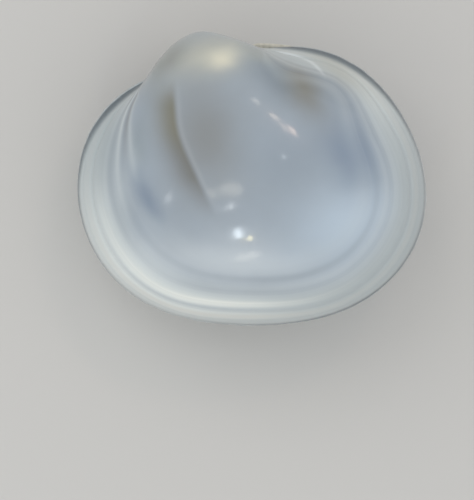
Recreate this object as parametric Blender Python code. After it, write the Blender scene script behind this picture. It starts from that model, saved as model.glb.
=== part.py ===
"""A small inflated clam shell: two thin valves and their ligament, lying on the right valve.

Metres, +Z up. The shell is drawn with its margin flat in the XY plane, hinge towards +Y, and is then
tipped to the pose in which it rests by itself.
"""

import math

import bmesh
import bpy
from mathutils import Euler, Matrix, Vector

MM = 0.001

# Margin, seen square on: a mean radius about the middle of the shell, and waves round it, each given as
# the number of its crests, its cosine part and its sine part
MARGIN_RADIUS = 4.92 * MM
MARGIN_WAVES = (
    (1, 0.04 * MM, -0.13 * MM),
    (2, 0.59 * MM, 0.07 * MM),
    (3, -0.10 * MM, -0.02 * MM),
    (4, -0.04 * MM, -0.08 * MM),
    (5, 0.03 * MM, -0.01 * MM),
)

# Growth: each older margin is smaller and turned further up about the hinge axis. The shell closes in
# by SHRINK for each radian turned, and less in the steep zone that it has grown last, near the margin
HINGE_SLOPE = math.radians(18)
BEAK_ALONG_HINGE = -0.49 * MM
HINGE_CLEAR = 0.05 * MM
SHRINK = 1.10
STEEPENING = 0.88
STEEP_ZONE = 0.5
INFLATION = 0.87
OUTER_TURN = math.radians(145)
INNER_TURN = math.radians(112)
RING_BUNCHING = 1.3

# Wall, and the wider shelf under the hinge
WALL = 0.26 * MM
HINGE_SHELF = 0.56 * MM
SHELF_SPREAD = math.radians(40)
SHELF_ANGLE = math.radians(98)

# Faceting
POINTS_AROUND = 48
OUTER_RINGS = 19
INNER_RINGS = 12
CAP_RINGS = 2
CAP_RISE = 0.35
SHARP_EDGE = math.radians(50)

# The valves stand slightly apart at the hinge and gape along the lower edge
HINGE_GAP = 0.14 * MM
GAPE = math.radians(1.0)

# Ligament, a spindle along the margin behind the beaks, thinner at its ends
LIGAMENT_FROM = math.radians(96)
LIGAMENT_TO = math.radians(72)
LIGAMENT_RADIUS = 0.085 * MM
LIGAMENT_END_SHARE = 0.35
LIGAMENT_OUT = 0.12 * MM
LIGAMENT_POINTS = 9
LIGAMENT_SMOOTHNESS = 2

# Rest pose, and the small flat that it is worn to where it touches the ground
REST_PITCH = math.radians(2.5)
REST_ROLL = math.radians(-8.0)
FLAT_DEPTH = 0.045 * MM

# Finishes
SHELL_WHITE = (0.62, 0.66, 0.68, 1.0)
SHELL_ROUGHNESS = 0.25
LIGAMENT_BROWN = (0.30, 0.24, 0.16, 1.0)
LIGAMENT_ROUGHNESS = 0.45


def clear_scene():
    for obj in list(bpy.data.objects):
        bpy.data.objects.remove(obj, do_unlink=True)


def new_collection(name):
    collection = bpy.data.collections.new(name)
    bpy.context.scene.collection.children.link(collection)
    return collection


def plain_material(name, colour, roughness):
    material = bpy.data.materials.new(name)
    material.use_nodes = True
    shader = material.node_tree.nodes["Principled BSDF"]
    shader.inputs["Base Color"].default_value = colour
    shader.inputs["Roughness"].default_value = roughness
    shader.inputs["Metallic"].default_value = 0.0
    return material


def to_hinge(x, y):
    """A point of the margin's plane as (along the hinge axis, across it)."""
    c, s = math.cos(HINGE_SLOPE), math.sin(HINGE_SLOPE)
    return x * c + y * s, y * c - x * s


def from_hinge(along, across):
    c, s = math.cos(HINGE_SLOPE), math.sin(HINGE_SLOPE)
    return along * c - across * s, along * s + across * c


def margin_radius(angle):
    radius = MARGIN_RADIUS
    for order, cosine, sine in MARGIN_WAVES:
        radius += cosine * math.cos(order * angle) + sine * math.sin(order * angle)
    return radius


def margin(inset):
    """The margin as (along, across) pairs, drawn in by inset times the wall or, at the hinge, the shelf."""
    points = []
    for i in range(POINTS_AROUND):
        angle = 2 * math.pi * i / POINTS_AROUND
        off_hinge = (angle - SHELF_ANGLE) / SHELF_SPREAD
        wall = WALL + (HINGE_SHELF - WALL) * math.exp(-off_hinge * off_hinge)
        radius = margin_radius(angle) - inset * wall
        points.append(to_hinge(radius * math.cos(angle), radius * math.sin(angle)))
    return points


def size_at(turn):
    """How large the shell was, against now, when its margin stood turned up by this angle."""
    return math.exp(-SHRINK * (turn - STEEPENING * STEEP_ZONE * (1 - math.exp(-turn / STEEP_ZONE))))


def hinge_axis(edge):
    return max(across for along, across in edge) + HINGE_CLEAR


def grown_rings(edge, full_turn, count):
    """The margin at one growth stage after another, from today's back to the beak."""
    axis = hinge_axis(edge)
    rings = []
    for k in range(count + 1):
        turn = full_turn * (k / count) ** RING_BUNCHING
        size = size_at(turn)
        ring = []
        for along, across in edge:
            reach = (across - axis) * size
            side = (along - BEAK_ALONG_HINGE) * size
            x, y = from_hinge(BEAK_ALONG_HINGE + side, axis + reach * math.cos(turn))
            ring.append(Vector((x, y, -INFLATION * reach * math.sin(turn))))
        rings.append(ring)
    return rings


def with_cap(rings):
    """Rounds off the small end: a few rings more, each narrower and a little further on."""
    last, before = rings[-1], rings[-2]
    middle = sum(last, Vector()) / len(last)
    onward = (middle - sum(before, Vector()) / len(before)).normalized()
    rise = CAP_RISE * min((p - middle).length for p in last)
    capped = list(rings)
    for k in range(1, CAP_RINGS + 1):
        angle = 0.5 * math.pi * k / (CAP_RINGS + 1)
        shift = onward * rise * math.sin(angle)
        capped.append([middle + (p - middle) * math.cos(angle) + shift for p in last])
    return capped, middle + onward * rise


def loft(bm, rings, first_tip, last_tip):
    """Joins each ring of points to the next with quads, and closes both ends on a point."""
    rows = [[bm.verts.new(p) for p in ring] for ring in rings]
    count = len(rows[0])
    for row, following in zip(rows, rows[1:]):
        for i in range(count):
            bm.faces.new((row[i - 1], row[i], following[i], following[i - 1]))
    for row, tip in ((rows[0], first_tip), (rows[-1], last_tip)):
        end = bm.verts.new(tip)
        for i in range(count):
            bm.faces.new((row[i - 1], row[i], end))


def rest_rotation():
    return Euler((REST_PITCH, REST_ROLL, 0)).to_matrix()


def wear_flat(bm):
    """Cuts off what lies within FLAT_DEPTH of the ground in the rest pose, and closes the cut."""
    down = rest_rotation().inverted() @ Vector((0, 0, -1))
    lowest = max(v.co.dot(down) for v in bm.verts)
    cut = bmesh.ops.bisect_plane(
        bm,
        geom=bm.verts[:] + bm.edges[:] + bm.faces[:],
        plane_co=down * (lowest - FLAT_DEPTH),
        plane_no=down,
        clear_outer=True,
    )
    edges = [e for e in cut["geom_cut"] if isinstance(e, bmesh.types.BMEdge)]
    bmesh.ops.contextual_create(bm, geom=edges)


def make_valve(name, side, collection, material):
    """side is 1 for the left valve, above the margin's plane, and -1 for the right one, below it."""
    bm = bmesh.new()
    outer, beak = with_cap(grown_rings(margin(0), OUTER_TURN, OUTER_RINGS))
    inner, hollow = with_cap(grown_rings(margin(1), INNER_TURN, INNER_RINGS))
    loft(bm, outer[::-1] + inner, beak, hollow)

    # Opened about the hinge axis, lifted off the other valve, and mirrored for the right side
    on_axis = Vector((*from_hinge(0, hinge_axis(margin(0))), 0))
    along = Vector((*from_hinge(1, 0), 0))
    to_axis = Matrix.Translation(on_axis)
    opened = to_axis @ Matrix.Rotation(-GAPE / 2, 4, along) @ to_axis.inverted()
    lifted = Matrix.Translation((0, 0, HINGE_GAP / 2))
    mirrored = Matrix.Diagonal((1, 1, side, 1))
    bmesh.ops.transform(bm, matrix=mirrored @ lifted @ opened, verts=bm.verts)

    if side < 0:
        wear_flat(bm)
    bmesh.ops.recalc_face_normals(bm, faces=bm.faces)
    mesh = bpy.data.meshes.new(name)
    bm.to_mesh(mesh)
    bm.free()
    mesh.shade_smooth()
    mesh.set_sharp_from_angle(angle=SHARP_EDGE)
    mesh.materials.append(material)
    obj = bpy.data.objects.new(name, mesh)
    collection.objects.link(obj)
    return obj


def make_ligament(collection, material):
    """A short spindle that follows the hinge margin behind the beaks."""
    curve = bpy.data.curves.new("ligament", "CURVE")
    curve.dimensions = "3D"
    curve.bevel_depth = LIGAMENT_RADIUS
    curve.bevel_resolution = LIGAMENT_SMOOTHNESS
    curve.use_fill_caps = True
    spline = curve.splines.new("POLY")
    spline.points.add(LIGAMENT_POINTS - 1)
    for k, point in enumerate(spline.points):
        share = k / (LIGAMENT_POINTS - 1)
        angle = LIGAMENT_FROM + share * (LIGAMENT_TO - LIGAMENT_FROM)
        radius = margin_radius(angle) + LIGAMENT_OUT
        point.co = (radius * math.cos(angle), radius * math.sin(angle), 0, 1)
        point.radius = LIGAMENT_END_SHARE + (1 - LIGAMENT_END_SHARE) * math.sin(math.pi * share)
    obj = bpy.data.objects.new("ligament", curve)
    collection.objects.link(obj)
    curve.materials.append(material)
    return obj


def stand(pose, parts):
    """Tips the parts to the rest pose and puts them on the ground, centred on the origin."""
    for obj in parts:
        obj.parent = pose
    pose.rotation_euler = rest_rotation().to_euler()
    turned = [rest_rotation() @ v.co for obj in parts for v in obj.data.vertices]
    low = [min(p[axis] for p in turned) for axis in range(3)]
    high = [max(p[axis] for p in turned) for axis in range(3)]
    pose.location = (-(low[0] + high[0]) / 2, -(low[1] + high[1]) / 2, -low[2])


def main():
    clear_scene()
    collection = new_collection("clam_shell")
    shell = plain_material("valve_shell", SHELL_WHITE, SHELL_ROUGHNESS)
    horn = plain_material("ligament_horn", LIGAMENT_BROWN, LIGAMENT_ROUGHNESS)
    left = make_valve("left_valve", 1, collection, shell)
    right = make_valve("right_valve", -1, collection, shell)
    ligament = make_ligament(collection, horn)
    pose = bpy.data.objects.new("rest_pose", None)
    collection.objects.link(pose)
    stand(pose, (left, right))
    ligament.parent = pose


main()
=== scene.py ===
# %% [markdown]
# # A small clam shell, resting on its right valve
#
# The object is a thin, inflated, milky shell about 11 mm long. It has three pieces: a left valve, which the
# camera looks at, a right valve underneath, and the ligament that holds the two together at the hinge.
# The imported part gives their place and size. This file makes their fine surfaces around it.

import math

import bpy
import numpy as np
from mathutils import Euler, Matrix, Vector, kdtree, noise
from mathutils.bvhtree import BVHTree


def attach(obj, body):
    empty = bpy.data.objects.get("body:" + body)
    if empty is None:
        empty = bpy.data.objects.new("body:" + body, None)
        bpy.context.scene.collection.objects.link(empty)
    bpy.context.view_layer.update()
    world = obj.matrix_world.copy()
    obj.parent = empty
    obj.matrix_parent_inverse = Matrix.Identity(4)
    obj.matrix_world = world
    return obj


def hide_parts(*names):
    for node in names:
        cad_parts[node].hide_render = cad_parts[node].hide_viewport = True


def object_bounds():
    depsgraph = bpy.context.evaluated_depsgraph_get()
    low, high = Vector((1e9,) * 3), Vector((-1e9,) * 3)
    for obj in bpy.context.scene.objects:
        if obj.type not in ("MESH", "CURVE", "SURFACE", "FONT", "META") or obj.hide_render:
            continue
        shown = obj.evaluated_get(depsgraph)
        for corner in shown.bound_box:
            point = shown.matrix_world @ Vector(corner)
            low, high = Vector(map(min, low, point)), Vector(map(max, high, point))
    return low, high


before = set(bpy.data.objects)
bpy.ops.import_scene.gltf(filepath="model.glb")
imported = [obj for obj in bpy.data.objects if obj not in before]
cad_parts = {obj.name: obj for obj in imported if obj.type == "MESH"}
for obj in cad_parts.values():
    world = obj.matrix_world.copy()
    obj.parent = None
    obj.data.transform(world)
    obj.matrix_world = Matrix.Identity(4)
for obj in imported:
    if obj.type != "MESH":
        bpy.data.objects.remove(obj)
cad_low, cad_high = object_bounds()
print("CAD box in mm:", [round(1000 * (b - a), 2) for a, b in zip(cad_low, cad_high)])

# %% [markdown]
# ## The growth rule
#
# A clam's valve grows only at its margin. Each new margin is the last one, a little larger and turned a
# little about the hinge, so the whole surface follows from one outline and one rule for its size. It could
# be sculpted by hand, but the rule gives the growth lines their true course for nothing: a line of equal
# age is an old margin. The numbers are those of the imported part, so the fine surface lies on its solids.

# %% Driving sizes, in millimetres and radians
MM = 0.001
# The margin: a mean radius and waves round it, each with its number of crests, cosine part and sine part
MARGIN_RADIUS = 4.92
MARGIN_WAVES = ((1, 0.04, -0.13), (2, 0.59, 0.07), (3, -0.10, -0.02), (4, -0.04, -0.08), (5, 0.03, -0.01))
HINGE_SLOPE = math.radians(18)
HINGE_CLEAR = 0.05
BEAK_ALONG_HINGE = -0.49
# How fast the shell closes in as its margin turns up, and the steep zone that it has grown last
SHRINK = 1.10
STEEPENING = 0.88
STEEP_ZONE = 0.5
INFLATION = 0.87
OUTER_TURN = math.radians(145)
INNER_TURN = math.radians(112)


# %% The margin, and how large the shell was at each stage
def to_hinge(x, y):
    """A place in the margin's plane as (along the hinge axis, across it)."""
    c, s = math.cos(HINGE_SLOPE), math.sin(HINGE_SLOPE)
    return x * c + y * s, y * c - x * s


def from_hinge(along, across):
    c, s = math.cos(HINGE_SLOPE), math.sin(HINGE_SLOPE)
    return along * c - across * s, along * s + across * c


def margin_radius(angle):
    waves = (c * np.cos(n * angle) + s * np.sin(n * angle) for n, c, s in MARGIN_WAVES)
    return MARGIN_RADIUS + sum(waves)


def size_at(turn):
    """The shell's size against now, when its margin stood turned up by this angle."""
    return np.exp(-SHRINK * (turn - STEEPENING * STEEP_ZONE * (1 - np.exp(-turn / STEEP_ZONE))))


AROUND = 360
angles = 2 * math.pi * np.arange(AROUND) / AROUND
radii = margin_radius(angles)
edge_across = to_hinge(radii * np.cos(angles), radii * np.sin(angles))[1]
hinge_line = edge_across.max() + HINGE_CLEAR
print("Hinge line lies", round(hinge_line, 3), "mm from the middle")
print("The oldest stage is", round(float(size_at(OUTER_TURN)), 3), "of today's size")

# %% [markdown]
# ## The valve's surface
#
# The outer surface is a grid: one direction runs round the margin, the other back through the stages of
# growth to the beak. The inner surface is a second grid a wall's thickness inside, which starts from a thin
# lip. Both together are one closed skin. A Solidify modifier could thicken the outer grid, but it would
# pinch where the surface curls in at the beak.

# %% Grids of points
# Rings of the two grids, which bunch towards the margin, and rings that round off the small end
OUTER_RINGS = 190
INNER_RINGS = 44
RING_BUNCHING = 1.3
CAP_RINGS = 6
CAP_RISE = 0.35
# The wall, its thin lip, the turn over which the lip thickens, and the wider shelf under the hinge
WALL = 0.26
LIP = 0.05
LIP_TURN = 0.12
HINGE_SHELF = 0.56
SHELF_SPREAD = math.radians(40)
SHELF_ANGLE = math.radians(98)


def ease(low, high, value):
    """A smooth step from 0 at low to 1 at high."""
    share = np.clip((value - low) / (high - low), 0, 1)
    return share * share * (3 - 2 * share)


def grown(turn, inset, line):
    """Points of the stage at this turn, from a margin drawn in by inset, turned about a hinge line."""
    radius = margin_radius(angles) - inset
    along, across = to_hinge(radius * np.cos(angles), radius * np.sin(angles))
    size = size_at(turn)
    reach = (across - line) * size
    side = (along - BEAK_ALONG_HINGE) * size
    x, y = from_hinge(BEAK_ALONG_HINGE + side, line + reach * np.cos(turn))
    return np.stack((x, y, -INFLATION * reach * np.sin(turn)), axis=-1)


def stages(full_turn, count):
    return full_turn * (np.arange(count + 1)[:, None] / count) ** RING_BUNCHING


def wall_at(turn):
    """The wall all round: thin at the lip, full a little further in, and wider under the hinge."""
    shelf = (HINGE_SHELF - WALL) * np.exp(-(((angles - SHELF_ANGLE) / SHELF_SPREAD) ** 2))
    return LIP + (WALL - LIP) * ease(0, LIP_TURN, turn) + shelf


def capped(grid):
    """The grid with its small end rounded off by a few rings more, and the tip's point."""
    last = grid[-1]
    middle = last.mean(axis=0)
    onward = middle - grid[-2].mean(axis=0)
    onward /= np.linalg.norm(onward)
    rise = CAP_RISE * np.linalg.norm(last - middle, axis=1).min()
    rows = [grid]
    for k in range(1, CAP_RINGS + 1):
        angle = 0.5 * math.pi * k / (CAP_RINGS + 1)
        rows.append((middle + (last - middle) * math.cos(angle) + onward * rise * math.sin(angle))[None])
    return np.concatenate(rows), middle + onward * rise


outer_turns = stages(OUTER_TURN, OUTER_RINGS)
outer, beak_tip = capped(grown(outer_turns, 0.0, hinge_line))
inner_turns = stages(INNER_TURN, INNER_RINGS)
inner_radius = margin_radius(angles) - wall_at(INNER_TURN)
inner_across = to_hinge(inner_radius * np.cos(angles), inner_radius * np.sin(angles))[1]
inner, hollow_tip = capped(grown(inner_turns, wall_at(inner_turns), inner_across.max() + HINGE_CLEAR))
print("Outer grid", outer.shape[:2], "inner grid", inner.shape[:2])

# %% [markdown]
# ## Standing the shell up
#
# Each valve is opened by half the gape about the hinge, lifted off its partner, and mirrored for the right
# side. The lips then bend back towards each other, as fresh shell does, and leave a narrow seam that waves a
# little. Then the shell is tipped to the pose in which it rests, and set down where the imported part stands.
# Empties and a Mirror modifier could do the same, but plain sums keep each point's own place for the paint.

# %% Opening, lifting and mirroring a valve
HINGE_GAP = 0.14
GAPE = math.radians(1.0)
REST_TURN = Euler((math.radians(2.5), math.radians(-8.0), 0)).to_matrix()
# The seam that the lips leave, how far up they bend, and how the seam waves
SEAM = 0.05
SEAM_HEIGHT = 0.7
SEAM_WAVE = 0.03
SEAM_WAVE_LENGTH = 1.8
SEAM_WAVE_CHOICE = 0.5


def smooth_noise(places):
    """A smooth random value from -1 to 1 for each place, which is a row of three numbers."""
    values = [noise.noise(place) for place in places.reshape(-1, 3).tolist()]
    return np.array(values).reshape(places.shape[:-1])


def opened(points, side):
    """One valve's points, opened about the hinge. side is 1 for the left valve and -1 for the right."""
    axis = Vector((*from_hinge(1, 0), 0))
    on_axis = np.array((*from_hinge(0, hinge_line), 0))
    turn = np.array(Matrix.Rotation(-GAPE / 2, 3, axis))
    moved = (points - on_axis) @ turn.T + on_axis + np.array((0, 0, HINGE_GAP / 2))
    by_the_lip = 1 - ease(0, SEAM_HEIGHT, points[..., 2])
    moved[..., 2] -= (moved[..., 2] - points[..., 2] - SEAM / 2) * by_the_lip
    moved = moved * np.array((1, 1, side))
    places = points / SEAM_WAVE_LENGTH
    places[..., 2] = SEAM_WAVE_CHOICE
    moved[..., 2] += SEAM_WAVE * smooth_noise(places) * by_the_lip
    return moved


def tipped(points):
    return points @ np.array(REST_TURN).T


def skin_points(outside):
    """A valve's points, from the beak down the outside, then up the inside, and last its two tips."""
    rows = np.concatenate((outside[::-1], inner)).reshape(-1, 3)
    return np.concatenate((rows, np.stack((beak_tip, hollow_tip))))


plain_left = opened(skin_points(outer), 1)
both = tipped(np.concatenate((plain_left, opened(skin_points(outer), -1)))) * MM
low, high = both.min(axis=0), both.max(axis=0)
shell_middle = (low + high) / 2
cad_middle = (cad_low + cad_high) / 2
place = Vector((cad_middle.x - shell_middle[0], cad_middle.y - shell_middle[1], cad_high.z - high[2]))
print("The margin's middle stands at", [round(1000 * v, 3) for v in place], "mm")


def in_world(points):
    return tipped(points) * MM + np.array(place)


# %% [markdown]
# ## A closed skin
#
# A grid of points becomes a skin once its rows are joined by quads and its two ends are closed by a fan of
# triangles each. BMesh could add these faces one at a time, but whole arrays of vertex numbers are quicker
# and shorter to write.

# %% Faces of a closed grid
def number_grid(rows, columns):
    """Quads that join each row to the next, closed round."""
    i = np.arange(rows - 1)[:, None] * columns
    j = np.arange(columns)[None, :]
    after = (j + 1) % columns
    return np.stack((i + j, i + after, i + columns + after, i + columns + j), axis=-1).reshape(-1, 4)


def skin_faces(rows, columns, flipped=False):
    quads = number_grid(rows, columns)
    first, last = rows * columns, rows * columns + 1
    j = np.arange(columns)
    after = (j + 1) % columns
    start = np.stack((after, j, np.full(columns, first)), axis=-1)
    end_row = (rows - 1) * columns
    end = np.stack((end_row + j, end_row + after, np.full(columns, last)), axis=-1)
    faces = [tuple(f) for block in (quads, start, end) for f in block.tolist()]
    return [f[::-1] for f in faces] if flipped else faces


def add_object(name, data):
    obj = bpy.data.objects.new(name, data)
    bpy.context.scene.collection.objects.link(obj)
    return obj


def smooth_mesh(name, points, faces):
    mesh = bpy.data.meshes.new(name)
    mesh.from_pydata(points.tolist(), [], faces)
    mesh.update()
    mesh.shade_smooth()
    return mesh


valve_rows = outer.shape[0] + inner.shape[0]
plain_faces = skin_faces(valve_rows, AROUND)
plain_skin = BVHTree.FromPolygons(in_world(plain_left).tolist(), plain_faces)
print("A valve's skin has", len(plain_faces), "faces")

# %% [markdown]
# ## Camera
#
# The shell was seen square on to its margin, through a long lens. The margin is tipped a little as the shell
# rests, so the camera is tipped with it, and a few degrees more, which brings the far beak into view. A
# camera can be set by eye, but this one is worked out from the size of a pixel on the shell. So any pixel of
# the picture can be followed back to a place on the shell, and marks can be put where they were seen.

# %% Camera
PICTURE = (474, 500)
MM_PER_PIXEL = 11.0 / 350.5
MIDDLE_PIXEL = (252.0, 185.0)
CAMERA_YAW = math.radians(3.0)
LENS = 250.0
SENSOR = 36.0
CLIP_NEAR = 0.05
CLIP_FAR = 20


def local_point(x, y, z=0.0):
    return Vector(in_world(np.array((x, y, z))))


def local_turn(direction):
    return (REST_TURN @ Vector(direction)).normalized()


up = local_turn((0, 1, 0))


def upright(location, backward):
    """The matrix of what looks against the direction backward, with its height upright in the picture."""
    across = up.cross(backward).normalized()
    turn = Matrix((across, backward.cross(across), backward)).transposed()
    return Matrix.Translation(location) @ turn.to_4x4()


target = local_point(
    (PICTURE[0] / 2 - MIDDLE_PIXEL[0]) * MM_PER_PIXEL,
    (MIDDLE_PIXEL[1] - PICTURE[1] / 2) * MM_PER_PIXEL,
)
distance = PICTURE[1] * MM_PER_PIXEL * MM * LENS / SENSOR
back = local_turn((math.sin(CAMERA_YAW), 0, math.cos(CAMERA_YAW)))
right = up.cross(back)

camera_data = bpy.data.cameras.new("camera")
camera_data.lens = LENS
camera_data.sensor_width = SENSOR
camera_data.clip_start, camera_data.clip_end = distance * CLIP_NEAR, distance * CLIP_FAR
camera = add_object("camera", camera_data)
camera.matrix_world = upright(target + back * distance, back)
bpy.context.scene.camera = camera
print("Camera stands", round(1000 * distance, 1), "mm away")


# %% From a pixel of the picture to a place on the shell
def through_pixel(pixel):
    """The direction in which the camera sees a pixel of the picture."""
    across = (pixel[0] - PICTURE[0] / 2) * MM_PER_PIXEL * MM
    upward = (PICTURE[1] / 2 - pixel[1]) * MM_PER_PIXEL * MM
    return (right * across + up * upward - back * distance).normalized()


def on_shell(pixel):
    """The place, in millimetres from the margin's middle, at which the camera sees the left valve."""
    spot = plain_skin.ray_cast(camera.location, through_pixel(pixel))[0]
    return REST_TURN.inverted() @ (spot - place) / MM


def away_from(pixel):
    """How far each point of the outer grid is from the place seen at a pixel."""
    return np.linalg.norm(outer - np.array(on_shell(pixel)), axis=-1)


print("The picture's middle pixel lies on the shell at", [round(v, 2) for v in on_shell((237, 250))])

# %% [markdown]
# ## Where things lie along the margin
#
# Much on a clam shell follows its margin: the clear lip, the cream band and the growth lines. They are
# widest along the lower edge and draw together beside the beak. So each point gets a distance from the
# margin, and a second one, the band distance, which is stretched where the bands are narrow. Marks are then
# lines of equal band distance, faded out over the directions, seen from the shell's middle, in which they
# don't show. A painted picture could carry the marks too, but it would blur and wouldn't follow the growth.

# %% Distances from the margin
# The column of the grid that runs up from the lowest point of the margin
AGE_COLUMN = int(0.75 * AROUND)
MARGIN_STEPS = 4 * AROUND
# The beak curls back over the hinge, but what lies near the margin there is old shell. So it counts as
# BEAK_FAR mm further away, from these lengths of surface on
BEAK_FROM = (8.8, 10.2)
BEAK_FAR = 3.0

column_steps = np.linalg.norm(np.diff(outer[:, AGE_COLUMN], axis=0), axis=1)
age = np.concatenate(([0.0], np.cumsum(column_steps)))[:, None]
outer_old = ease(*BEAK_FROM, np.broadcast_to(age, outer.shape[:2]))
print("From the lower margin to the beak along the surface:", round(float(age[-1, 0]), 2), "mm")

margin_tree = kdtree.KDTree(MARGIN_STEPS)
for step in range(MARGIN_STEPS):
    angle = 2 * math.pi * step / MARGIN_STEPS
    radius = margin_radius(angle)
    margin_tree.insert((radius * math.cos(angle), radius * math.sin(angle), 0), step)
margin_tree.balance()


def edge_distance(points):
    flat = points.reshape(-1, 3)
    return np.array([margin_tree.find(p)[2] for p in flat]).reshape(points.shape[:-1])


outer_edge = edge_distance(outer) + BEAK_FAR * outer_old

# %% Bumps over directions, and the band distance
# Each bump: its direction and how far it spreads, in degrees, and how much it adds there
BAND_WIDTHS = ((135, 26, -0.50), (95, 16, -0.45), (50, 18, -0.32), (205, 30, 0.12))
WOBBLE = 0.12
WOBBLE_SIZE = 3.0


def bells(directions, bumps):
    """The sum of smooth bumps over directions, closed round the circle."""
    total = np.zeros_like(directions)
    for middle, spread, height in bumps:
        off = (directions - middle + 180) % 360 - 180
        total += height * np.exp(-((off / spread) ** 2))
    return total


def directions_of(points):
    return np.degrees(np.arctan2(points[..., 1], points[..., 0]))


def band_distance(points, edges):
    widths = 1 + bells(directions_of(points), BAND_WIDTHS)
    return edges / widths + WOBBLE * smooth_noise(points / WOBBLE_SIZE)


outer_band = band_distance(outer, outer_edge)
print("Band distance runs up to", round(float(outer_band.max()), 2), "mm")

# %% The bright line behind the beak
# The pixels of the picture that it runs through, half its width in mm, its strength, and its ends in degrees
REAR_LINE = ((270, 50), (278, 51), (287, 52), (298, 55), (307, 60), (316, 66), (324, 71))
REAR_LINE_HALF = 0.13
REAR_LINE_STRENGTH = 0.60
REAR_LINE_FADE = 4.0


def through(pixels):
    """The band distance as a smooth curve over directions, through places on the shell, and its two ends."""
    nearest = [away_from(pixel).argmin() for pixel in pixels]
    turns, bands = directions_of(outer).flat[nearest], outer_band.flat[nearest]
    return np.polynomial.Polynomial.fit(turns, bands, 2), turns.min(), turns.max()


rear_course, rear_from, rear_to = through(REAR_LINE)
print("The rear line runs from", round(rear_from), "to", round(rear_to), "degrees")


def rear_line(band, directions):
    shown = ease(rear_from - REAR_LINE_FADE, rear_from + REAR_LINE_FADE, directions)
    shown = shown * (1 - ease(rear_to - REAR_LINE_FADE, rear_to + REAR_LINE_FADE, directions))
    off = (band - rear_course(directions)) / REAR_LINE_HALF
    return REAR_LINE_STRENGTH * shown * np.exp(-(off**2))


# %% Marks along the margin
# Bumps over directions: where the cream is painted brighter as light falls on it, most on the lower left and
# upper right, where the bands are clearest, and where they are calm
CREAM_LIT_SIDES = ((222, 34, 1.00), (265, 30, 0.50), (42, 22, 0.60), (188, 12, 0.15))
LOW_SIDE = ((250, 42, 1.0),)
CALM_SIDE = ((150, 45, 0.85),)
# The clear lip: bumps where it is wider and fainter, and where it ends, in mm from the margin
LIP_WIDTHS = ((140, 25, 0.60), (55, 30, 0.50))
LIP_FAINT = ((235, 50, 0.65), (0, 24, 0.55))
LIP_ENDS = (0.14, 0.42)
RIM_ENDS = (0.06, 0.14)
# Arcs on the flank: band distance, half width, strength, and the direction and spread over which it shows
PALE_ARCS = ((2.40, 0.13, 0.55, 155, 26), (3.10, 0.13, 0.22, 158, 18), (1.76, 0.12, 0.20, 170, 30))
DIM_ARCS = ((2.05, 0.17, 0.40, 160, 30), (2.55, 0.17, 0.36, 295, 40))
# The fold's arc is painted shade where the fold beside the beak turns in; the relief also presses it in as a
# shallow groove
FOLD_SHADE_ARCS = ((2.76, 0.18, 0.70, 148, 16),)
# The marks belong to young shell. They are gone where the share of old shell reaches this
OLD_FADE = 0.25


def arcs(band, directions, rows):
    total = np.zeros_like(band)
    for at, half_width, strength, middle, spread in rows:
        across = np.exp(-(((band - at) / half_width) ** 2))
        total += across * bells(directions, ((middle, spread, strength),))
    return total


def margin_marks(points, edges, old):
    """What relief and material read at each point: the band distance, and how strong each mark is."""
    directions = directions_of(points)
    band = band_distance(points, edges)
    lip_reach = edges / (1 + bells(directions, LIP_WIDTHS))
    young = 1 - ease(0, OLD_FADE, old)
    return {
        "band": band,
        "young": young,
        # light: where the cream band is painted brighter, as lit
        "light": bells(directions, CREAM_LIT_SIDES),
        "low_side": bells(directions, LOW_SIDE) * young,
        "lively": (1 - bells(directions, CALM_SIDE)) * young,
        "lip": (1 - ease(*LIP_ENDS, lip_reach)) * (1 - bells(directions, LIP_FAINT)),
        "rim": 1 - ease(*RIM_ENDS, edges),
        "pale_arcs": arcs(band, directions, PALE_ARCS) * young,
        "dim_arcs": arcs(band, directions, DIM_ARCS) * young,
        "fold_shade_arcs": arcs(band, directions, FOLD_SHADE_ARCS) * young,
        "rear_line": rear_line(band, directions) * young,
    }


outer_folds = margin_marks(outer, outer_edge, outer_old)["fold_shade_arcs"]
print("The fold beside the beak is at most", round(float(outer_folds.max()), 2), "strong")

# %% [markdown]
# ## Relief
#
# The shell is smooth and glossy, yet not perfect: it carries fine growth lines and a few stronger rings near
# the margin, broad shallow swells, a fold beside the beak, and one low crease that runs down from it. A bump
# map could show them all, but it leaves the outline smooth and is lost in the exported mesh. So they are
# moved points, and only the finest lines are left to the bump.

# %% The crease that runs down from the beak
# Its top, bend and end as pixels of the picture, and its ends as heights on the shell in mm
CREASE_TOP, CREASE_BEND, CREASE_END = (on_shell(pixel) for pixel in ((175, 89), (177, 132), (214, 212)))
CREASE_SOFTNESS = 0.22
CREASE_HEIGHT = 0.007
CREASE_WIDTH = 0.20
CREASE_LOW_END = (-1.4, -0.2)
CREASE_HIGH_END = (2.4, 3.4)
# It shows only where the surface faces up this much, so not under the beak
CREASE_FACES_UP = (0.3, 0.6)


def lean(above, below):
    """How far a line through two places moves to the right for each millimetre down."""
    return (below.x - above.x) / (above.y - below.y)


UPPER_LEAN = lean(CREASE_TOP, CREASE_BEND)
LOWER_LEAN = lean(CREASE_BEND, CREASE_END)
print("The crease leans by", round(UPPER_LEAN, 2), "above its bend and", round(LOWER_LEAN, 2), "below")


def crease_offset(points):
    """How far a point lies to the right of the crease."""
    down = CREASE_BEND.y - points[..., 1]
    bent = CREASE_SOFTNESS * np.log1p(np.exp(down / CREASE_SOFTNESS))
    return points[..., 0] - (CREASE_BEND.x + UPPER_LEAN * down + (LOWER_LEAN - UPPER_LEAN) * bent)


def outward(grid):
    """Unit normals of a grid that closes round its first direction."""
    along_rows = np.gradient(grid, axis=0)
    around = (np.roll(grid, -1, axis=1) - np.roll(grid, 1, axis=1)) / 2
    normal = np.cross(around, along_rows)
    length = np.linalg.norm(normal, axis=-1, keepdims=True)
    return normal / np.maximum(length, 1e-9)


normals = outward(outer)


def crease():
    off = crease_offset(outer) / CREASE_WIDTH
    high = outer[..., 1]
    along = ease(*CREASE_LOW_END, high) * (1 - ease(*CREASE_HIGH_END, high))
    return CREASE_HEIGHT * np.exp(-off * off) * along * ease(*CREASE_FACES_UP, normals[..., 2])


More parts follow.
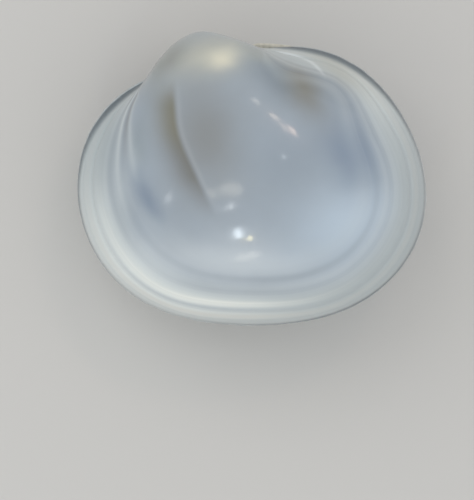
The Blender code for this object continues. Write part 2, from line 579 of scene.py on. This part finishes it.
# %% The relief itself, in millimetres
# Growth lines: length of a swing and height. Rings: band distance, half width and depth
GROWTH_LINES = ((0.62, 0.007), (0.31, 0.004), (0.17, 0.003))
LINES_UNTIL = (2.4, 3.8)
RING_GROOVES = ((1.10, 0.10, 0.030), (0.55, 0.08, 0.012), (1.95, 0.20, 0.012))
# Lines and rings begin this far from the hinge line, near which they would run into each other
LINES_FROM_HINGE = (0.4, 2.5)
FOLD_DEPTH = 0.030
# Broad swells: they begin this far from the margin, and are lower on the beak
SWELL_SIZE = 1.7
SWELL_HEIGHT = 0.035
SWELLS_FROM = (0.2, 1.5)
SWELLS_ON_BEAK = 0.3
# Jags of the margin: length of a swing and height
EDGE_UNEVEN = ((0.45, 0.014), (0.17, 0.008))
EDGE_UNEVEN_REACH = 0.30
# Where the beak is fuller or flatter than the growth rule makes it: pixel of the picture, height and spread.
# The right valve's beak is fuller behind, because it is seen above the left one
SHOULDERS = (((243, 47), 0.10, 0.60), ((204, 36), -0.05, 0.50), ((160, 65), 0.06, 0.50))
RIGHT_SHOULDERS = (((238, 44), 0.19, 0.75), *SHOULDERS[1:])


def wavering(position, length, seed):
    """Smooth random values from -1 to 1 along a line, one swing in about each length."""
    places = np.zeros((*position.shape, 3))
    places[..., 0] = position / length
    places[..., 1:] = seed, 0.37 * seed
    return smooth_noise(places)


def growth_relief():
    """Growth lines, rings and the fold, which follow the margin."""
    height = np.zeros_like(outer_band)
    for i, (length, rise) in enumerate(GROWTH_LINES):
        height += rise * wavering(outer_band, length, 7.0 * i + 1)
    height *= 1 - ease(*LINES_UNTIL, outer_band)
    for at, half_width, depth in RING_GROOVES:
        height -= depth * np.exp(-(((outer_band - at) / half_width) ** 2))
    return height * ease(*LINES_FROM_HINGE, np.abs(edge_across - hinge_line)) - FOLD_DEPTH * outer_folds


def swells(seed):
    """Broad swells, which shrink with the size that the shell had."""
    cap_sizes = np.full(CAP_RINGS, size_at(OUTER_TURN))
    size = np.concatenate((size_at(outer_turns)[:, 0], cap_sizes))[:, None]
    height = SWELL_HEIGHT * smooth_noise(outer / SWELL_SIZE + np.array((seed, 0, 0)))
    return height * ease(*SWELLS_FROM, outer_edge) * (SWELLS_ON_BEAK + (1 - SWELLS_ON_BEAK) * size)


def raised(seed, shoulders):
    """The outer grid of one valve with its relief."""
    height = growth_relief() + swells(seed) + crease()
    for length, rise in EDGE_UNEVEN:
        jags = wavering(angles * MARGIN_RADIUS, length, seed + length)
        height += rise * jags * (1 - ease(0, EDGE_UNEVEN_REACH, outer_edge))
    for pixel, rise, spread in shoulders:
        height += rise * np.exp(-((away_from(pixel) / spread) ** 2))
    return outer + normals * height[..., None]


LEFT_SWELLS = 3.0
RIGHT_SWELLS = 11.0
left_outside = raised(LEFT_SWELLS, SHOULDERS)
right_outside = raised(RIGHT_SWELLS, RIGHT_SHOULDERS)
rise = np.linalg.norm(left_outside - outer, axis=-1).max()
print("The left valve's relief moves points by up to", round(float(rise), 3), "mm")

# %% [markdown]
# ## From grids to meshes
#
# Each valve is one mesh: the outer grid from its beak down to the margin, then the inner grid back up. The
# material needs to know where it is on the shell. Texture coordinates could tell it, but they would only
# give a place. So each vertex keeps its marks, its place in the valve's own millimetres, and whether it
# faces the other valve.

# %% Meshes with what the materials read
# The beak's underside, by how far its surface faces the other valve, which gets a painted shade. It begins
# earlier at the rear
UNDERSIDE = (-0.02, 0.42)
UNDERSIDE_REAR = (-1.3, -0.8)
UNDERSIDE_EARLIER = 0.17


def keep(mesh, name, values):
    kind = "FLOAT" if values.ndim == 1 else "FLOAT_VECTOR"
    layer = mesh.attributes.new(name, kind, "POINT")
    layer.data.foreach_set("value" if values.ndim == 1 else "vector", values.astype(np.float32).ravel())


def over_skin(outer_values, inside, beak):
    """A value for each point of a valve: the outer grid's, one for the inside, one for the beak's tip."""
    values = np.full(valve_rows * AROUND + 2, inside)
    values[: outer_values.size] = outer_values[::-1].ravel()
    values[-2] = beak
    return values


def make_valve(name, outside, side):
    points = opened(skin_points(outside), side)
    world = in_world(points)
    world[:, 2] = np.maximum(world[:, 2], 0)
    mesh = smooth_mesh(name, world, skin_faces(valve_rows, AROUND, side < 0))

    local = points * np.array((1, 1, side))
    edges = edge_distance(skin_points(outer))
    edges[: outer_edge.size] = outer_edge[::-1].ravel()
    edges[-2] = outer_edge[-1].mean()
    for mark, values in margin_marks(local, edges, over_skin(outer_old, 0.0, 1.0)).items():
        keep(mesh, mark, values)
    earlier = UNDERSIDE_EARLIER * ease(*UNDERSIDE_REAR, outer[..., 0]) * outer_old
    keep(mesh, "under", over_skin(ease(*UNDERSIDE, earlier - normals[..., 2]), 0.0, 1.0))
    keep(mesh, "plan", local)
    triangles = sum(len(face.vertices) - 2 for face in mesh.polygons)
    print(name, "has", len(mesh.polygons), "faces,", triangles, "triangles")
    return add_object(name, mesh)


left_valve = make_valve("left_valve_shell", left_outside, 1)
right_valve = make_valve("right_valve_shell", right_outside, -1)

# %% [markdown]
# ## The ligament
#
# The ligament is a short strip of pale horn in the groove behind the beaks. A bevelled curve would do for
# its shape, but the real one is flattened and wrinkled across, so it is swept as a mesh with its own section.

# %% Ligament values and mesh
LIGAMENT_FROM = math.radians(96)
LIGAMENT_TO = math.radians(72)
LIGAMENT_STATIONS = 120
LIGAMENT_SIDES = 32
# How far it stands out past the margin, at shares of its length
LIGAMENT_STANDS_OUT = ((0.0, 0.35, 0.92, 1.0), (0.20, 0.24, 0.02, 0.00))
LIGAMENT_BULGE = 0.07
LIGAMENT_ROOT = 0.16
# Half its thickness outside, reached where it stands out this far, and half its root's
LIGAMENT_THICK = 0.085
THICK_WHERE_OUT = (0.0, 0.10)
ROOT_THICK = 0.030
ROOT_TAPER = 0.7
BLUNT_ENDS = 10
WRINKLES = 40
WRINKLE = 0.0015
WRINKLE_CHOICE = 5.0


def make_ligament():
    share = np.linspace(0, 1, LIGAMENT_STATIONS)
    angle = LIGAMENT_FROM + share * (LIGAMENT_TO - LIGAMENT_FROM)
    outside = np.interp(share, *LIGAMENT_STANDS_OUT) - LIGAMENT_BULGE
    radius = margin_radius(angle) + outside
    centre = np.stack((radius * np.cos(angle), radius * np.sin(angle), np.zeros_like(angle)), axis=-1)
    forward = np.gradient(centre, axis=0)
    forward /= np.linalg.norm(forward, axis=1, keepdims=True)
    upward = np.array((0.0, 0.0, 1.0))
    inward = np.cross(forward, upward)

    # Each section bulges outside the margin and runs in between the valves as a thin root
    rounding = np.sqrt(np.clip(1 - np.abs(2 * share - 1) ** BLUNT_ENDS, 0, 1))
    thick = ROOT_THICK + (LIGAMENT_THICK - ROOT_THICK) * ease(*THICK_WHERE_OUT, outside)
    thick = (thick + WRINKLE * wavering(share * WRINKLES, 1.0, WRINKLE_CHOICE)) * rounding
    turn = 2 * math.pi * np.arange(LIGAMENT_SIDES) / LIGAMENT_SIDES
    full = (1 - np.maximum(0, np.cos(turn))) ** ROOT_TAPER
    reach = np.where(np.cos(turn) > 0, LIGAMENT_ROOT + outside[:, None], LIGAMENT_BULGE)
    reach = reach * rounding[:, None]
    height = thick[:, None] * full + ROOT_THICK * rounding[:, None] * (1 - full)
    points = centre[:, None] + (np.cos(turn) * reach)[..., None] * inward[:, None]
    points = points + (np.sin(turn) * height)[..., None] * upward
    world = in_world(np.concatenate((points.reshape(-1, 3), centre[[0, -1]])))
    mesh = smooth_mesh("ligament_strip", world, skin_faces(LIGAMENT_STATIONS, LIGAMENT_SIDES))
    keep(mesh, "along", np.concatenate((np.repeat(share, LIGAMENT_SIDES), (0.0, 1.0))))
    return add_object("ligament_strip", mesh)


ligament = make_ligament()
print("The ligament has", len(ligament.data.polygons), "faces")

# %% [markdown]
# ## Writing shaders as sums
#
# A finish is easiest to read as arithmetic. Nodes can be joined by hand in the editor, but a long chain of
# them hides the sum that it stands for. The class below wraps the output of a node, and Python's own
# operators add the Math nodes. Colours go through Mix nodes, because a Math node would turn them grey.


# %% A small language for nodes
class Value:
    """A number that changes over the surface: the output of a node."""

    def __init__(self, socket):
        self.socket = socket

    def math(self, operation, *others, swapped=False):
        tree = self.socket.id_data
        made = tree.nodes.new("ShaderNodeMath")
        made.operation = operation
        parts = [self, *others]
        if swapped:
            parts.reverse()
        for slot, part in zip(made.inputs, parts):
            connect(tree, slot, part)
        return Value(made.outputs[0])

    def __add__(self, other):
        return self.math("ADD", other)

    def __sub__(self, other):
        return self.math("SUBTRACT", other)

    def __rsub__(self, other):
        return self.math("SUBTRACT", other, swapped=True)

    def __mul__(self, other):
        return self.math("MULTIPLY", other)

    def __truediv__(self, other):
        return self.math("DIVIDE", other)

    __radd__ = __add__
    __rmul__ = __mul__

    def bell(self):
        """1 where the value is 0, falling off smoothly to both sides."""
        return (self * self * -1.0).math("EXPONENT")


def connect(tree, slot, part):
    if isinstance(part, Value):
        tree.links.new(part.socket, slot)
    else:
        slot.default_value = part


# %% A material, and the few ways in which its nodes are added
class Finish:
    """A material with a Principled shader, whose sockets are set or fed."""

    def __init__(self, name):
        self.material = bpy.data.materials.new(name)
        self.material.use_nodes = True
        self.tree = self.material.node_tree
        self.shader = self.tree.nodes["Principled BSDF"]

    def node(self, kind, settings=None, sockets=None, output=0):
        """Adds a node: its settings first, then its sockets' values or links. Gives one output."""
        made = self.tree.nodes.new(kind)
        for name, setting in (settings or {}).items():
            setattr(made, name, setting)
        for name, part in (sockets or {}).items():
            connect(self.tree, made.inputs[name], part)
        return Value(made.outputs[output])

    def attribute(self, name, output="Fac"):
        return self.node("ShaderNodeAttribute", {"attribute_name": name}, output=output)

    def step(self, value, low, high):
        """A smooth step from 0 at low to 1 at high."""
        return self.node(
            "ShaderNodeMapRange",
            {"interpolation_type": "SMOOTHSTEP"},
            {"Value": value, "From Min": low, "From Max": high},
        )

    def noise(self, vector, scale, detail=2.0, output=0):
        sockets = {"Vector": vector, "Scale": scale, "Detail": detail}
        return self.node("ShaderNodeTexNoise", None, sockets, output)

    def stripes(self, value, often, choice=(0.0, 0.0), detail=3.0):
        """Noise that changes only with value, so often in each unit. choice picks one pattern."""
        sockets = {"X": value * often, "Y": choice[0], "Z": choice[1]}
        return self.noise(self.node("ShaderNodeCombineXYZ", None, sockets), 1.0, detail)

    def vector(self, operation, first, second):
        return self.node("ShaderNodeVectorMath", {"operation": operation}, {0: first, 1: second})

    def mix(self, below, above, share):
        """below where share is 0, above where it is 1. Both are colours."""
        sockets = {0: share, 6: below, 7: above}
        return self.node("ShaderNodeMix", {"data_type": "RGBA"}, sockets, output=2)

    def apart(self, vector):
        first = self.node("ShaderNodeSeparateXYZ", None, {0: vector})
        return [Value(out) for out in first.socket.node.outputs]

    def set(self, **constants):
        for name, constant in constants.items():
            self.shader.inputs[name.replace("_", " ")].default_value = constant

    def feed(self, name, part):
        connect(self.tree, self.shader.inputs[name], part)


def rgb(red, green, blue):
    """A colour as a screen shows it, from 0 to 255, turned into the linear numbers that shaders use."""
    parts = (red / 255, green / 255, blue / 255)
    return (*(p / 12.92 if p <= 0.04045 else ((p + 0.055) / 1.055) ** 2.4 for p in parts), 1.0)


print("Middle grey on a screen is", round(rgb(128, 128, 128)[0], 3), "to a shader")

# %% [markdown]
# ## The valves' finish: milky middle and clouds
#
# Thin shell is milky, cool and grey, and faint brown and blue clouds show in it. They have no edges, so each
# is a soft ellipse of colour over the grey. The grey and the ellipses wander a little with a noise, or they
# would look drawn. Noise alone could make clouds, but not where the real shell has them.

# %% Milky middle
MIDDLE_GREY = rgb(156, 169, 182)
MIDDLE_DULL = rgb(148, 159, 169)
MIDDLE_SCALE = 0.8
# How often in each millimetre the clouds' edges wander, and how far in mm
WANDER_SCALE = 0.9
WANDER = (0.4, 0.4, 0.0)

shell = Finish("valve_shell")
plan = shell.attribute("plan", "Vector")
x, y, _ = shell.apart(plan)
wander = shell.vector("SUBTRACT", shell.noise(plan, WANDER_SCALE, output="Color"), (0.5, 0.5, 0.5))
wandered = shell.vector("ADD", plan, shell.vector("MULTIPLY", wander, WANDER))
wandered_x, wandered_y, _ = shell.apart(wandered)
colour = shell.mix(MIDDLE_GREY, MIDDLE_DULL, shell.noise(plan, MIDDLE_SCALE))
print("The finish starts with", len(shell.tree.nodes), "nodes")

# %% Clouds
# name, colour, pixel of the picture, half sizes in mm, turn in degrees, strength
CLOUDS = (
    ("beak_warmth", rgb(178, 180, 172), (202, 54), (1.70, 0.85), 10, 0.85),
    ("beak_grey", rgb(134, 137, 132), (166, 58), (0.50, 0.90), -30, 0.70),
    ("beak_glow_tail", rgb(192, 194, 182), (207, 57), (0.75, 0.36), 8, 0.50),
    ("beak_glow", rgb(226, 223, 203), (225, 58), (0.42, 0.36), 0, 0.85),
    ("beak_side", rgb(176, 180, 174), (261, 55), (0.85, 0.26), -14, 0.65),
    ("middle_warmth", rgb(130, 134, 135), (206, 136), (1.05, 1.65), 12, 0.85),
    ("front_grey", rgb(138, 151, 158), (139, 148), (0.32, 0.80), -8, 0.60),
    ("left_pale", rgb(184, 194, 199), (125, 184), (0.40, 0.90), -4, 0.50),
    ("left_low_pale", rgb(192, 202, 209), (150, 268), (1.25, 0.72), -35, 0.80),
    ("lower_pale", rgb(194, 204, 212), (240, 264), (2.80, 0.75), -4, 0.85),
    ("middle_shade", rgb(134, 148, 162), (295, 160), (1.30, 1.20), 0, 0.40),
    ("lower_blue", rgb(186, 203, 218), (350, 222), (2.00, 1.30), 30, 0.90),
    ("blue_patch", rgb(118, 137, 160), (356, 155), (0.78, 1.10), 30, 0.85),
    ("beak_blue", rgb(120, 133, 143), (282, 79), (1.10, 0.55), -28, 0.90),
    ("rear_brown", rgb(126, 123, 110), (304, 86), (0.46, 0.95), 24, 0.75),
    ("front_blue", rgb(106, 125, 148), (145, 197), (0.28, 0.90), 30, 0.90),
)


def clouded(colour, clouds, x, y):
    """The colour with soft ellipses of other colours over it."""
    for _, tint, pixel, (half_x, half_y), turn, strength in clouds:
        middle = on_shell(pixel)
        c, s = math.cos(math.radians(turn)), math.sin(math.radians(turn))
        u = ((x - middle.x) * c + (y - middle.y) * s) / half_x
        v = ((y - middle.y) * c - (x - middle.x) * s) / half_y
        share = ((u * u + v * v) * -1.0).math("EXPONENT") * strength
        colour = shell.mix(colour, tint, share)
    return colour


colour = clouded(colour, CLOUDS, wandered_x, wandered_y)
print("Clouds on the middle:", ", ".join(cloud[0] for cloud in CLOUDS))

# %% [markdown]
# ## The valves' finish: the crease and the growth lines
#
# The low crease has a brown shade on its left side and a faint pale line on its back. Light from one side
# could shade it, but the real shade is far darker than so low a crease can throw, so it is painted, from the
# same course that the relief has. The growth lines are stripes of noise over the band distance.

# %% The crease's colours
CREASE_OLIVE = rgb(114, 112, 94)
CREASE_GREY = rgb(108, 109, 105)
CREASE_LIGHT = rgb(182, 184, 190)
# Half width of the shade in mm and its strength, and the same for the pale line, which lies a little right
SHADE_HALF = 0.66
SHADE_STRENGTH = 0.90
SHADE_STOPS = (-0.14, 0.10)
PALE_AT = 0.10
PALE_HALF = 0.08
PALE_STRENGTH = 0.15
# Heights on the shell, in mm, over which the shade begins and ends, and turns from grey to olive
SHADE_BEGINS = (-1.3, 0.3)
SHADE_ENDS = (2.3, 3.3)
OLIVE_FROM = (0.4, 2.0)

down = CREASE_BEND.y - y
bent = ((down / CREASE_SOFTNESS).math("EXPONENT") + 1.0).math("LOGARITHM", math.e) * CREASE_SOFTNESS
off = x - CREASE_BEND.x - down * UPPER_LEAN - bent * (LOWER_LEAN - UPPER_LEAN)
reach = shell.step(wandered_y, *SHADE_BEGINS) * (1 - shell.step(wandered_y, *SHADE_ENDS))
left_side = (off / SHADE_HALF).bell() * (1 - shell.step(off, *SHADE_STOPS))
brown = shell.mix(CREASE_GREY, CREASE_OLIVE, shell.step(wandered_y, *OLIVE_FROM))
colour = shell.mix(colour, brown, left_side * reach * SHADE_STRENGTH)
colour = shell.mix(colour, CREASE_LIGHT, ((off - PALE_AT) / PALE_HALF).bell() * reach * PALE_STRENGTH)
print("With the crease it has", len(shell.tree.nodes))

# %% Growth lines: soft and faint in the middle, finer and clearer by the margin
LINE_PALE = rgb(208, 217, 220)
LINE_DIM = rgb(142, 154, 165)
# Stripes: how often in each mm, which pattern, and how much detail
SLOW_LINES = (1.1, (0.3, 0.7), 1.0)
FINE_LINES = (3.0, (0.9, 0.1), 4.0)
# The noise over which they show, the band distances over which they end, and their strength where the
# shell is lively and everywhere
SLOW_SHOW = (0.45, 0.75)
PALE_SHOW = (0.48, 0.68)
DIM_SHOW = (0.34, 0.50)
SLOW_END = (3.0, 4.4)
FINE_END = (1.8, 3.4)
SLOW_STRENGTH = 0.18
PALE_STRENGTHS = (0.28, 0.06)
DIM_STRENGTHS = (0.22, 0.05)

band = shell.attribute("band")
young = shell.attribute("young")
lively = shell.attribute("lively")
slow_lines = shell.step(shell.stripes(band, *SLOW_LINES), *SLOW_SHOW) * (1 - shell.step(band, *SLOW_END))
colour = shell.mix(colour, LINE_PALE, slow_lines * SLOW_STRENGTH)
near_margin = (1 - shell.step(band, *FINE_END)) * young
fine_lines = shell.stripes(band, *FINE_LINES)
pale_lines = shell.step(fine_lines, *PALE_SHOW) * near_margin
dim_lines = (1 - shell.step(fine_lines, *DIM_SHOW)) * near_margin


def livelier(strengths):
    return lively * strengths[0] + strengths[1]


colour = shell.mix(colour, LINE_PALE, pale_lines * livelier(PALE_STRENGTHS))
colour = shell.mix(colour, LINE_DIM, dim_lines * livelier(DIM_STRENGTHS))
print("With the growth lines it has", len(shell.tree.nodes))

# %% [markdown]
# ## The valves' finish: band, lip and gloss
#
# Towards the margin, where fresh shell is laid down in many layers, the shell turns to opaque cream with
# brighter and darker rings. A colour ramp over the band distance could hold them all, but rings that are
# mixed in one by one can each fade on their own side of the shell. At the very edge the lip is so thin that
# it is clear.

# %% The cream band, and the arcs inside it on the flank
CREAM_DIM = rgb(178, 188, 191)
CREAM_BRIGHT = rgb(226, 233, 232)
# Band distances in millimetres over which the cream fades out inwards
CREAM_FADES = (1.30, 2.30)
CREAM_STRENGTH = 0.90
ARCS = (
    ("dim_arcs", rgb(146, 158, 168)),
    # The fold's arc below is painted shade along the fold beside the beak
    ("fold_shade_arcs", rgb(128, 132, 136)),
    ("pale_arcs", rgb(214, 222, 222)),
    ("rear_line", rgb(230, 238, 242)),
)

cream = (1 - shell.step(band, *CREAM_FADES)) * young
# The cream is the shell's own colour; where light falls on it most it is painted brighter: painted light
cream_colour = shell.mix(CREAM_DIM, CREAM_BRIGHT, shell.attribute("light"))
colour = shell.mix(colour, cream_colour, cream * CREAM_STRENGTH)
for mark, tint in ARCS:
    colour = shell.mix(colour, tint, shell.attribute(mark))
print("Arcs on the flank:", ", ".join(mark for mark, _ in ARCS))

# %% The band's rings, clearest along the lower edge, and fine streaks
STREAKS = (8.0, (0.2, 0.4))
STREAKS_SHOW = (0.50, 0.75)
STREAK_STRENGTHS = (0.10, 0.03)
# name, colour, band distance and half width in mm, strength on the low side and all round
BAND_RINGS = (
    ("blue_inside", rgb(186, 197, 205), 1.22, 0.13, 0.65, 0.12),
    ("warm_outside", rgb(216, 216, 210), 0.82, 0.16, 0.40, 0.22),
    ("bright", rgb(244, 248, 243), 1.50, 0.15, 0.85, 0.05),
    ("outer_dim", rgb(150, 160, 164), 0.45, 0.20, 0.40, 0.00),
)

low_side = shell.attribute("low_side")
for _, tint, at, half_width, on_low_side, all_round in BAND_RINGS:
    strength = low_side * on_low_side + lively * all_round
    colour = shell.mix(colour, tint, ((band - at) / half_width).bell() * strength)
streaks = shell.step(shell.stripes(band, *STREAKS), *STREAKS_SHOW)
colour = shell.mix(colour, LINE_DIM, streaks * cream * livelier(STREAK_STRENGTHS))

# The same values as for the clouds, for those that lie over the cream band
OVER_CREAM = (
    ("front_shade", rgb(148, 160, 167), (107, 148), (0.42, 1.50), -14, 0.45),
    ("rear_warmth", rgb(170, 170, 160), (338, 70), (1.20, 0.35), -36, 0.55),
)
colour = clouded(colour, OVER_CREAM, x, y)
print("Rings of the band:", ", ".join(ring[0] for ring in BAND_RINGS))

# %% Painted shade under the beak, and the clear lip with its fine bright edge
BEAK_UNDER_SHADE = rgb(128, 122, 110)
BEAK_UNDER_SHADE_STRENGTH = 0.70
LIP_GREY = rgb(88, 103, 114)
LIP_STRENGTH = 0.95
LIP_CLEAR = 0.25
RIM_STRENGTH = 0.80

lip = shell.attribute("lip")
# Painted shade, brownish, on the beak's underside where it faces the other valve
colour = shell.mix(colour, BEAK_UNDER_SHADE, shell.attribute("under") * BEAK_UNDER_SHADE_STRENGTH)
colour = shell.mix(colour, LIP_GREY, lip * LIP_STRENGTH)
colour = shell.mix(colour, LINE_PALE, shell.attribute("rim") * RIM_STRENGTH)
shell.feed("Base Color", colour)
shell.feed("Alpha", 1 - lip * LIP_CLEAR)
print("The lip lets", round(100 * LIP_CLEAR), "percent of the light straight through")

# %% Gloss: a clear coat, light that spreads in the shell, and fine lines in the surface
BUMP_STRENGTH = 0.15
BUMP_HEIGHT = 0.02 * MM
# The bump's two parts, each with its share: lines along the band, and grain, with its scale and detail
BUMP_LINES = (9.0, (0.1, 0.2))
LINES_SHARE = 0.6
GRAIN = (3.5, 3.0)
GRAIN_SHARE = 0.4
ROUGHNESS = 0.30
ROUGHNESS_VARIES = 0.12
ROUGHNESS_SCALE = 1.5
LIGHT_SPREADS = 0.3 * MM

line_height = shell.stripes(band, *BUMP_LINES) * LINES_SHARE * near_margin
height = line_height + shell.noise(plan, *GRAIN) * GRAIN_SHARE
sockets = {"Strength": BUMP_STRENGTH, "Distance": BUMP_HEIGHT, "Height": height}
shell.feed("Normal", shell.node("ShaderNodeBump", None, sockets))
shell.feed("Roughness", shell.noise(plan, ROUGHNESS_SCALE) * ROUGHNESS_VARIES + ROUGHNESS)
shell.set(Subsurface_Weight=0.35, Subsurface_Scale=LIGHT_SPREADS, Subsurface_Radius=(1.0, 0.95, 0.9))
shell.set(Coat_Weight=0.75, Coat_Roughness=0.11)
for valve in (left_valve, right_valve):
    valve.data.materials.append(shell.material)
print("The valves' finish has", len(shell.tree.nodes), "nodes")

# %% [markdown]
# ## The ligament's finish
#
# The ligament is pale horn, a little shiny, with bands across where it stretches. A wave texture would make
# them too regular, so they are stripes of noise along its length.

# %% The ligament's material
HORN_DIM = rgb(184, 182, 170)
HORN_PALE = rgb(200, 198, 186)
HORN_BANDS = 14.0
HORN_DETAIL = 4.0
BANDS_SHOW = (0.30, 0.70)
HORN_ROUGHNESS = 0.35
HORN_ROUGHNESS_VARIES = 0.2

horn = Finish("ligament_horn")
bands = horn.stripes(horn.attribute("along"), HORN_BANDS, detail=HORN_DETAIL)
horn.feed("Base Color", horn.mix(HORN_DIM, HORN_PALE, horn.step(bands, *BANDS_SHOW)))
horn.feed("Roughness", bands * HORN_ROUGHNESS_VARIES + HORN_ROUGHNESS)
horn.set(Coat_Weight=0.4, Coat_Roughness=0.15)
ligament.data.materials.append(horn.material)
print("The ligament's finish has", len(horn.tree.nodes), "nodes")

# %% [markdown]
# ## What each piece stands for
#
# The imported part has a plain solid for each of the three pieces. The solids could be kept inside the fine
# meshes, but they would show through the clear lip. So each fine mesh takes the place of its solid.

# %% Attach each fine mesh to the root, and hide the solid whose place it takes
for piece, node, slot in (
    (left_valve, "left_valve", "valve_shell"),
    (right_valve, "right_valve", "valve_shell"),
    (ligament, "ligament", "ligament_horn"),
):
    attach(piece, "root")
    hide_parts(node)
    print(piece.name, "takes the place of", node)

# %% [markdown]
# ## Floor and light
#
# The floor is plain and pale. A white sky lights the shell evenly, and one large soft lamp gives it shape
# and a soft shadow. More such lamps could fill in the shadow, but the sky does that already. The lamp is
# hidden from the gloss, which would mirror it as a broad white patch.

# %% Floor
FLOOR_SIZE = 400 * MM
FLOOR_DROP = 0.01 * MM
FLOOR_GREY = (0.58, 0.58, 0.57, 1.0)

half = FLOOR_SIZE / 2
corners = [(x * half, y * half, -FLOOR_DROP) for x, y in ((-1, -1), (1, -1), (1, 1), (-1, 1))]
floor_mesh = bpy.data.meshes.new("floor")
floor_mesh.from_pydata(corners, [], [(0, 1, 2, 3)])
floor_finish = Finish("floor_pale")
floor_finish.set(Base_Color=FLOOR_GREY, Roughness=0.7)
floor_mesh.materials.append(floor_finish.material)
floor = add_object("floor", floor_mesh)
print("The floor is", round(FLOOR_SIZE / MM), "mm wide")

# %% Sky and key lamp
SKY = 0.80
# The key lamp: where it stands as seen from the shell, its distance and width, its power in watts and colour
KEY_DIRECTION = (-0.45, 0.55, 1.0)
KEY_AWAY = 120 * MM
KEY_WIDTH = 90 * MM
KEY_POWER = 0.022
KEY_WARM = (1.0, 0.98, 0.95)

sky = bpy.data.worlds.new("soft_sky")
sky.use_nodes = True
sky.node_tree.nodes["Background"].inputs["Color"].default_value = (1.0, 1.0, 1.0, 1.0)
sky.node_tree.nodes["Background"].inputs["Strength"].default_value = SKY
bpy.context.scene.world = sky
bpy.context.scene.view_settings.view_transform = "Standard"


def add_lamp(name, location, backward, size, power, colour):
    """An elliptic lamp that looks against the direction backward, with its width, height and power."""
    data = bpy.data.lights.new(name, "AREA")
    data.shape = "ELLIPSE"
    data.size, data.size_y = size
    data.energy = power
    data.color = colour
    lamp = add_object(name, data)
    lamp.matrix_world = upright(location, backward)
    return lamp


toward_key = local_turn(KEY_DIRECTION)
key_place = local_point(0, 0, 1) + toward_key * KEY_AWAY
key = add_lamp("key", key_place, toward_key, (KEY_WIDTH, KEY_WIDTH), KEY_POWER, KEY_WARM)
key.visible_glossy = False
print("The key lamp stands at", [round(1000 * v) for v in key.location], "mm")

# %% [markdown]
# ## Glints
#
# Each glint on the gloss is the mirror image of a small lamp. Lamps could be moved about by eye until the
# glints sit right, but their place can be found: a ray from the camera meets the shell where the glint
# should be, and the lamp stands where that ray goes once the surface mirrors it.

# %% Small lamps for the glints
GLINT_AWAY = 60 * MM
# name, pixel of the glint in the picture, width and height in mm and power in mW of the lamp, colour
GLINTS = (
    ("glint_main", (238, 232), (0.9, 9.0), 1.20, (0.84, 0.93, 1.0)),
    ("glint_yellow", (249, 238), (2.2, 3.0), 0.50, (1.0, 0.86, 0.42)),
    ("glint_beak", (292, 131), (4.5, 5.5), 0.70, (1.0, 0.72, 0.56)),
    ("glint_beak_between", (284, 126), (3.0, 4.0), 0.22, (1.0, 0.76, 0.60)),
    ("glint_beak_middle", (275, 117), (4.0, 5.0), 0.45, (1.0, 0.80, 0.64)),
    ("glint_beak_top", (255, 100), (6.0, 6.0), 0.38, (1.0, 0.92, 0.78)),
    ("glint_soft", (234, 189), (9.0, 5.0), 0.45, (1.0, 0.93, 0.76)),
    ("glint_small", (232, 206), (1.6, 3.0), 0.22, (0.92, 0.97, 1.0)),
    ("glint_low", (249, 256), (8.0, 5.0), 0.35, (1.0, 0.94, 0.78)),
    ("glint_front", (169, 197), (3.4, 4.2), 0.20, (0.95, 0.98, 1.0)),
    ("glint_rear", (285, 158), (2.4, 3.0), 0.14, (0.88, 0.95, 1.0)),
)

bpy.context.view_layer.update()
for name, pixel, (wide, high), power, tint in GLINTS:
    ray = through_pixel(pixel)
    found, spot, normal, _ = left_valve.ray_cast(camera.location, ray)
    mirrored = ray - 2 * ray.dot(normal) * normal
    lamp = add_lamp(name, spot + mirrored * GLINT_AWAY, mirrored, (wide * MM, high * MM), power * MM, tint)
    print(name, "found the shell:", found, "lamp at", [round(1000 * v, 1) for v in lamp.location])
